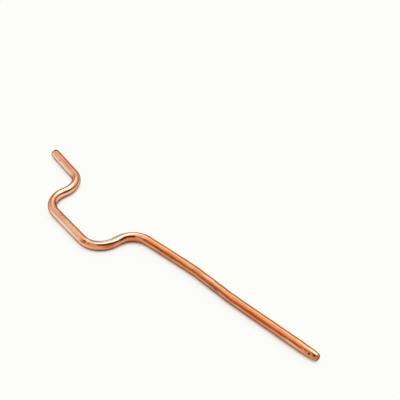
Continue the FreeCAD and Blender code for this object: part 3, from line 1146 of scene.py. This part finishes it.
    @staticmethod
    def _store(pipe: bpy.types.Object, name: str, vectors: np.ndarray) -> None:
        """Stores a vector for each vertex under a name."""
        attribute = pipe.data.attributes.new(name, "FLOAT_VECTOR", "POINT")
        attribute.data.foreach_set("vector", vectors.ravel())


@dataclass(frozen=True)
class Card:
    """A soft-edged card of light or shade around the table, seen from the table's middle.

    Azimuth is 0 straight away from the camera and grows to its right. Angles are in degrees.
    """

    azimuth: float
    elevation: float
    half_width: float
    half_height: float
    soft: float
    light: Colour

    def cover(self, azimuth: Value, elevation: Value) -> Value:
        """How much of the card there is in a direction.

        Args:
            azimuth: the direction's azimuth.
            elevation: the direction's elevation.

        Returns:
            The share, from 0 to 1.
        """
        apart = 180.0 - abs(180.0 - abs(azimuth - self.azimuth))
        across = apart.fade(self.half_width + self.soft, self.half_width - self.soft)
        height = abs(elevation - self.elevation)
        return across * height.fade(self.half_height + self.soft, self.half_height - self.soft)


CARDS = (
    Card(178.0, 8.0, 62.0, 27.0, 12.0, (0.82, 0.68, 0.58)),
    Card(28.0, 14.0, 54.0, 18.0, 9.0, (0.70, 0.70, 0.67)),
    Card(-48.0, 20.0, 44.0, 34.0, 8.0, (0.94, 0.95, 0.96)),
    Card(-30.0, 25.0, 12.0, 8.0, 6.0, (0.42, 0.40, 0.38)),
    Card(-78.0, 2.0, 20.0, 12.0, 7.0, (1.20, 1.22, 1.25)),
    Card(84.0, -7.0, 40.0, 14.0, 6.0, (1.40, 1.45, 1.50)),
    Card(16.0, 44.0, 32.0, 10.0, 5.0, (1.60, 1.58, 1.55)),
    Card(122.0, 33.0, 26.0, 17.0, 8.0, (0.32, 0.25, 0.19)),
    Card(165.0, 55.0, 40.0, 13.0, 8.0, (0.09, 0.045, 0.03)),
    Card(0.0, 90.0, 180.0, 13.0, 7.0, (2.30, 2.25, 2.30)),
    Card(44.0, 66.0, 46.0, 16.0, 7.0, (3.00, 3.00, 3.20)),
    Card(-44.0, 60.0, 47.0, 7.0, 6.0, (1.20, 1.12, 0.92)),
    Card(-86.0, 44.0, 13.0, 8.0, 6.0, (0.60, 0.40, 0.26)),
    Card(-104.0, 21.0, 12.0, 21.0, 6.0, (0.48, 0.23, 0.10)),
)


@dataclass
class Studio:
    """White table, light around it and the camera."""

    azimuth: float = 44.38
    elevation: float = 39.21
    distance: float = 561.8 * MM
    aim: tuple[float, float, float] = (-16.97 * MM, 58.07 * MM, 0.0)
    lens: float = 78.35
    table_size: float = 16.0
    table_colour: Colour = (0.94, 0.955, 0.935)
    table_roughness: float = 0.9
    plain_white: Colour = (0.975, 0.985, 0.965)
    plain_share: float = 0.85
    contact_samples: int = 8
    contact_reach: float = 9.0 * MM
    contact_fade: tuple[float, float] = (0.16, 0.62)
    surround: Colour = (0.80, 0.75, 0.68)
    cards: tuple[Card, ...] = CARDS

    def lay_table(self) -> bpy.types.Object:
        """Adds the table top.

        Returns:
            The table, which isn't part of the object.
        """
        bpy.ops.object.select_all(action="DESELECT")
        bpy.ops.mesh.primitive_plane_add(size=self.table_size, location=(0.0, 0.0, 0.0))
        table = bpy.context.active_object
        table.name = "table"
        material = bpy.data.materials.new("white_table")
        material.use_nodes = True
        tree = ShaderTree(material.node_tree)
        paint = {
            "Base Color": self.table_colour,
            "Roughness": self.table_roughness,
            "Specular IOR Level": 0.0,
        }
        painted = tree.add("ShaderNodeBsdfPrincipled", None, paint).outputs[0]
        white = tree.add("ShaderNodeEmission", None, {"Color": self.plain_white, "Strength": 1.0}).outputs[0]
        path = tree.add("ShaderNodeLightPath").outputs
        seen = Value(tree, path["Is Camera Ray"])
        for kind in ("Is Glossy Ray", "Is Transmission Ray"):
            seen = seen.maximum(Value(tree, path[kind]))
        settings = {"samples": self.contact_samples}
        hollow = tree.add("ShaderNodeAmbientOcclusion", settings, {"Distance": self.contact_reach})
        open_to_light = Value(tree, hollow.outputs["AO"]).fade(*self.contact_fade)
        plain = seen * open_to_light * self.plain_share
        shader = tree.add("ShaderNodeMixShader", None, {0: plain, 1: painted, 2: white})
        tree.add("ShaderNodeOutputMaterial", None, {"Surface": shader.outputs[0]})
        table.data.materials.append(material)
        return table

    def hang_light(self) -> None:
        """Paints the cards on the world, one over the other."""
        world = bpy.data.worlds.new("studio_light")
        world.use_nodes = True
        bpy.context.scene.world = world
        tree = ShaderTree(world.node_tree)
        turn = math.radians(self.azimuth)
        direction = tree.add("ShaderNodeTexCoord").outputs["Generated"]
        right = tree.along(direction, (math.cos(turn), math.sin(turn), 0.0))
        away = tree.along(direction, (-math.sin(turn), math.cos(turn), 0.0))
        up = tree.along(direction, (0.0, 0.0, 1.0))
        azimuth = right.arctan2(away) * math.degrees(1.0)
        elevation = up.arcsin() * math.degrees(1.0)
        light = self.surround
        for card in self.cards:
            light = tree.mix(card.cover(azimuth, elevation), light, card.light)
        background = tree.add("ShaderNodeBackground", None, {"Color": light, "Strength": 1.0})
        tree.add("ShaderNodeOutputWorld", None, {"Surface": background.outputs[0]})

    def stand_camera(self) -> None:
        """Sets the camera up at the photograph's viewing angle."""
        turn, tilt = math.radians(self.azimuth), math.radians(self.elevation)
        back = np.array((math.sin(turn) * math.cos(tilt), -math.cos(turn) * math.cos(tilt), math.sin(tilt)))
        bpy.ops.object.select_all(action="DESELECT")
        bpy.ops.object.camera_add(
            location=tuple(np.array(self.aim) + self.distance * back),
            rotation=(math.pi / 2 - tilt, 0.0, turn),
        )
        camera = bpy.context.active_object
        camera.data.lens = self.lens
        bpy.context.scene.camera = camera


def main() -> None:
    """Builds the pipe and the studio around it."""
    logging.basicConfig(level=logging.INFO, format="%(name)s: %(message)s")
    bpy.context.scene.view_settings.view_transform = "Standard"

    mounts = {mount["name"]: mount for mount in frame["record"]["mounts"]}
    pipe = HeatPipe(CopperFinish(), mounts["condenser_leg"]).build()
    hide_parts("heat_pipe")
    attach(pipe, "root")
    LOG.info("%s has %d vertices", pipe.name, len(pipe.data.vertices))

    studio = Studio()
    table = studio.lay_table()
    studio.hang_light()
    studio.stand_camera()
    LOG.info("studio has %d cards", len(studio.cards))


if __name__ == "__main__":
    main()
